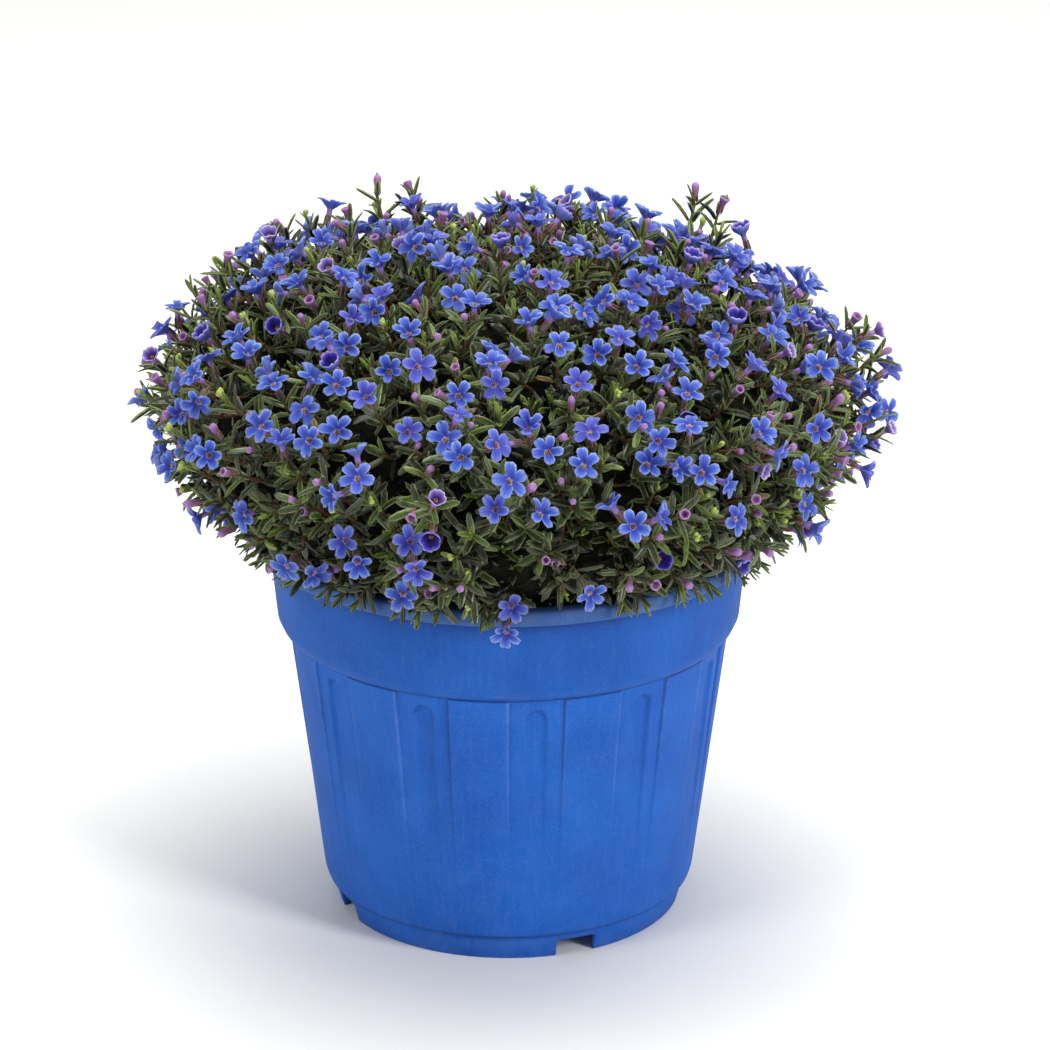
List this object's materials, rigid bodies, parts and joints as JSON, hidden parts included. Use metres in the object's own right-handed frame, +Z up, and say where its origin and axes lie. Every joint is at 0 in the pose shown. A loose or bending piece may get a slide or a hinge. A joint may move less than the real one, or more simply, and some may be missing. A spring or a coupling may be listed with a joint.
{
  "type": "potted lithodora",
  "caption": "Dome of narrow-leaved evergreen branches with small blue star-shaped blooms, growing from soil in a round ribbed plastic pot.",
  "frame": {"origin": "middle of the pot's foot ring, on the ground", "axes": "+Z up along the pot's axis, -Y towards the front that the picture shows, +X to the right as seen from there"},
  "size_m": [0.2489, 0.2494, 0.2407],
  "materials": {
    "pot_plastic": "moulded polypropylene, satin, lightly scuffed",
    "potting_mix": "moist fibrous peat and bark",
    "foliage": "hairy evergreen leaves and thin petals"
  },
  "bodies": {
    "root": {"pot": "pot_plastic", "soil": "potting_mix", "branch_01": "foliage", "branch_02": "foliage", "branch_03": "foliage", "branch_04": "foliage", "branch_05": "foliage", "branch_06": "foliage", "branch_07": "foliage", "branch_08": "foliage", "branch_09": "foliage", "branch_10": "foliage", "branch_11": "foliage", "branch_12": "foliage", "branch_13": "foliage", "branch_14": "foliage", "branch_15": "foliage", "branch_16": "foliage", "branch_17": "foliage", "branch_18": "foliage", "branch_19": "foliage", "branch_20": "foliage", "branch_21": "foliage", "branch_22": "foliage", "branch_23": "foliage", "branch_24": "foliage", "branch_25": "foliage", "branch_26": "foliage", "branch_27": "foliage", "branch_28": "foliage", "branch_29": "foliage", "branch_30": "foliage", "branch_31": "foliage", "branch_32": "foliage", "branch_33": "foliage", "branch_34": "foliage", "branch_35": "foliage", "branch_36": "foliage"}
  },
  "joints": []
}
